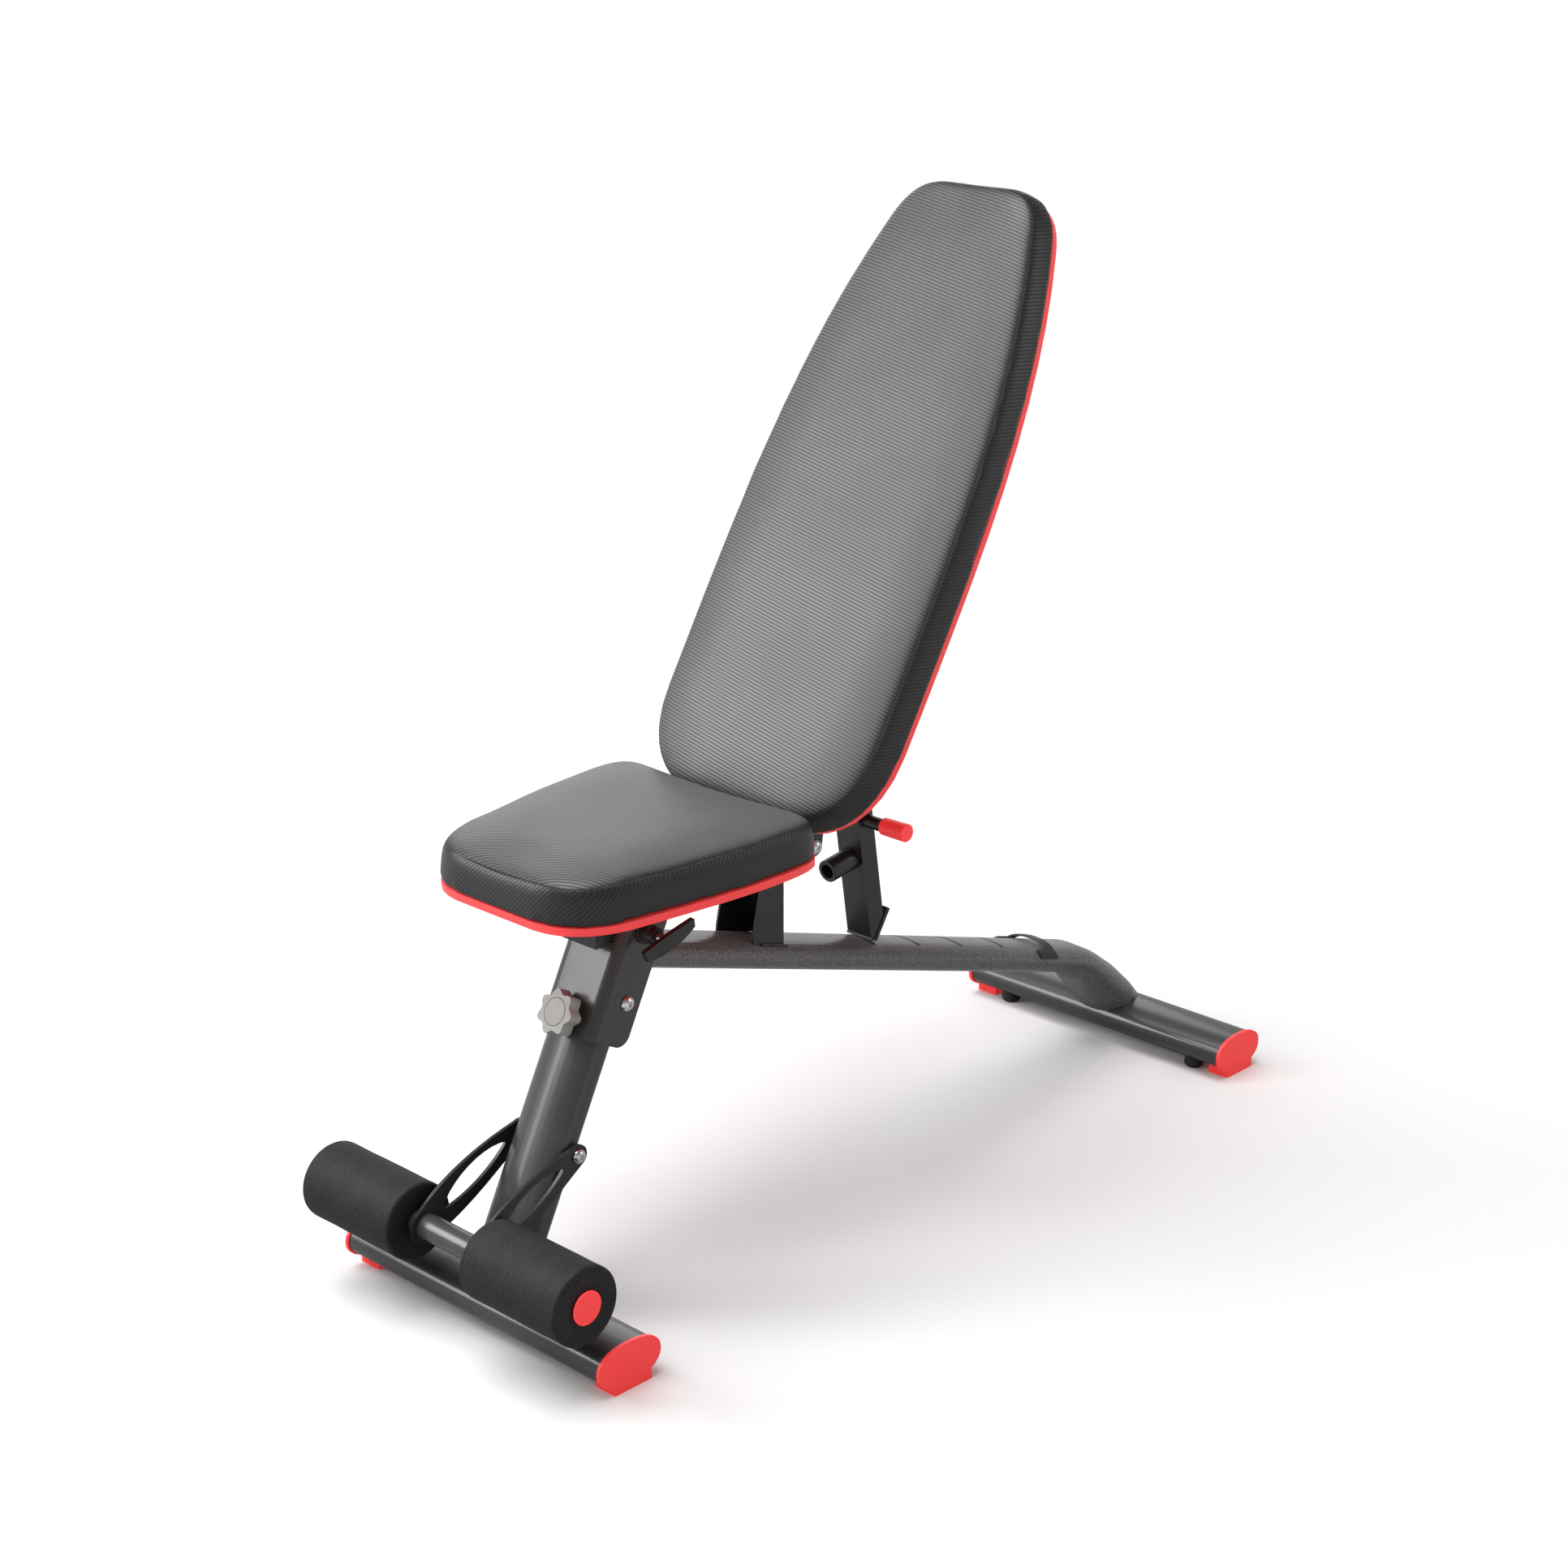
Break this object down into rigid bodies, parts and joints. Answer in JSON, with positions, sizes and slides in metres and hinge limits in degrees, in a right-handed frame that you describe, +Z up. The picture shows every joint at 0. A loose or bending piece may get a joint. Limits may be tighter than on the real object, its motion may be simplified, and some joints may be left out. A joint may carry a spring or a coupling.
{
  "type": "decline sit-up bench",
  "caption": "Folding gym bench with a reclining back pad on a notched strut, a tilting seat pad, foam foot rollers and oval-tube feet.",
  "frame": {"origin": "centre of the bench's bounding box in X and Y, on the floor", "axes": "+X towards the left of a person sitting with their feet under the rollers, +Y from the foot rollers to the rear of the bench, +Z up"},
  "size_m": [0.4, 1.1704, 1.0953],
  "materials": {
    "charcoal_paint": "semi-gloss charcoal powder coat",
    "speckled_paint": "finely speckled silver-grey powder coat",
    "black_paint": "satin black powder coat",
    "chrome": "bright zinc and chrome plated steel",
    "red_plastic": "moulded red plastic",
    "grey_plastic": "moulded warm grey plastic",
    "black_rubber": "moulded black rubber",
    "foam": "closed-cell black foam rubber",
    "twill_vinyl": "grey and black twill-pattern vinyl",
    "red_vinyl": "smooth coral red vinyl"
  },
  "bodies": {
    "main_frame": {"main_beam": "speckled_paint", "head_bracket": "charcoal_paint", "rear_foot_bar": "charcoal_paint", "rear_cap_left": "red_plastic", "rear_cap_right": "red_plastic", "rear_rubber_foot_left": "black_rubber", "rear_rubber_foot_right": "black_rubber", "seat_post": "black_paint", "hinge_bracket": "black_paint", "strut_loop": "black_paint", "leg_pivot_bolt": "chrome", "leg_pivot_nut": "chrome", "pin_sleeve": "black_paint", "pin_spring": "chrome", "seat_pivot_bolt": "chrome", "seat_pivot_nut": "chrome", "back_pivot_bolt": "chrome", "back_pivot_nut": "chrome"},
    "front_leg": {"front_leg": "charcoal_paint", "leg_pivot_sleeve": "black_paint", "front_foot_bar": "charcoal_paint", "front_cap_left": "red_plastic", "front_cap_right": "red_plastic", "roller_pivot_bolt": "chrome", "roller_pivot_nut": "chrome", "roller_spacer_left": "black_paint", "roller_spacer_right": "black_paint"},
    "roller_frame": {"roller_plate_left": "black_paint", "roller_plate_right": "black_paint", "roller_axle": "charcoal_paint", "axle_plug_left": "red_plastic", "axle_plug_right": "red_plastic"},
    "left_foam": {"foam_roller_left": "foam"},
    "right_foam": {"foam_roller_right": "foam"},
    "lock_knob": {"star_knob": "grey_plastic", "knob_cap": "grey_plastic", "knob_stud": "chrome"},
    "pull_pin": {"pull_pin": "chrome", "pin_handle": "black_paint"},
    "seat": {"seat_base": "red_vinyl", "seat_cushion": "twill_vinyl", "seat_rail": "black_paint", "seat_screw_front": "chrome", "seat_screw_rear": "chrome"},
    "backrest": {"back_base": "red_vinyl", "back_cushion": "twill_vinyl", "back_frame": "black_paint", "back_screw_lower": "chrome", "back_screw_upper": "chrome", "strut_spacer_left": "black_paint", "strut_spacer_right": "black_paint", "strut_pivot_bolt": "chrome", "strut_pivot_nut": "chrome"},
    "strut": {"strut_tube": "black_paint", "strut_foot": "black_paint", "strut_socket": "black_paint", "handle_bar": "black_paint", "handle_grip_left": "red_plastic", "handle_grip_right": "red_plastic"}
  },
  "joints": [
    {"name": "leg_fold", "type": "hinge", "parent": "main_frame", "child": "front_leg", "pos_m": [0, -0.33668, 0.32104], "axis": [1, 0, 0], "range_deg": [0, 95]},
    {"name": "roller_swing", "type": "hinge", "parent": "front_leg", "child": "roller_frame", "pos_m": [0, -0.41217, 0.1761], "axis": [-1, 0, 0], "range_deg": [-8, 60]},
    {"name": "left_foam_spin", "type": "hinge", "parent": "roller_frame", "child": "left_foam", "pos_m": [0, -0.54075, 0.112], "axis": [1, 0, 0], "continuous": true},
    {"name": "right_foam_spin", "type": "hinge", "parent": "roller_frame", "child": "right_foam", "pos_m": [0, -0.54075, 0.112], "axis": [1, 0, 0], "continuous": true},
    {"name": "knob_turn", "type": "hinge", "parent": "main_frame", "child": "lock_knob", "pos_m": [0, -0.35628, 0.29753], "axis": [0, 0.8942, -0.4478], "continuous": true},
    {"name": "pin_pull", "type": "slide", "parent": "main_frame", "child": "pull_pin", "axis": [1, 0, 0], "range_m": [0, 0.0075], "stiffness_N_per_m": 800, "springref_m": -0.004},
    {"name": "seat_tilt", "type": "hinge", "parent": "main_frame", "child": "seat", "pos_m": [0, -0.10575, 0.415], "axis": [-1, 0, 0], "range_deg": [0, 7]},
    {"name": "back_recline", "type": "hinge", "parent": "main_frame", "child": "backrest", "pos_m": [0, -0.04974, 0.41397], "axis": [-1, 0, 0], "range_deg": [0, 58.75]},
    {"name": "strut_swing", "type": "hinge", "parent": "backrest", "child": "strut", "pos_m": [0, 0.02457, 0.59791], "axis": [1, 0, 0], "range_deg": [0, 90]}
  ],
  "couplings": [
    {"joint": "strut_swing", "follows": "back_recline", "ratio": 1.52}
  ]
}
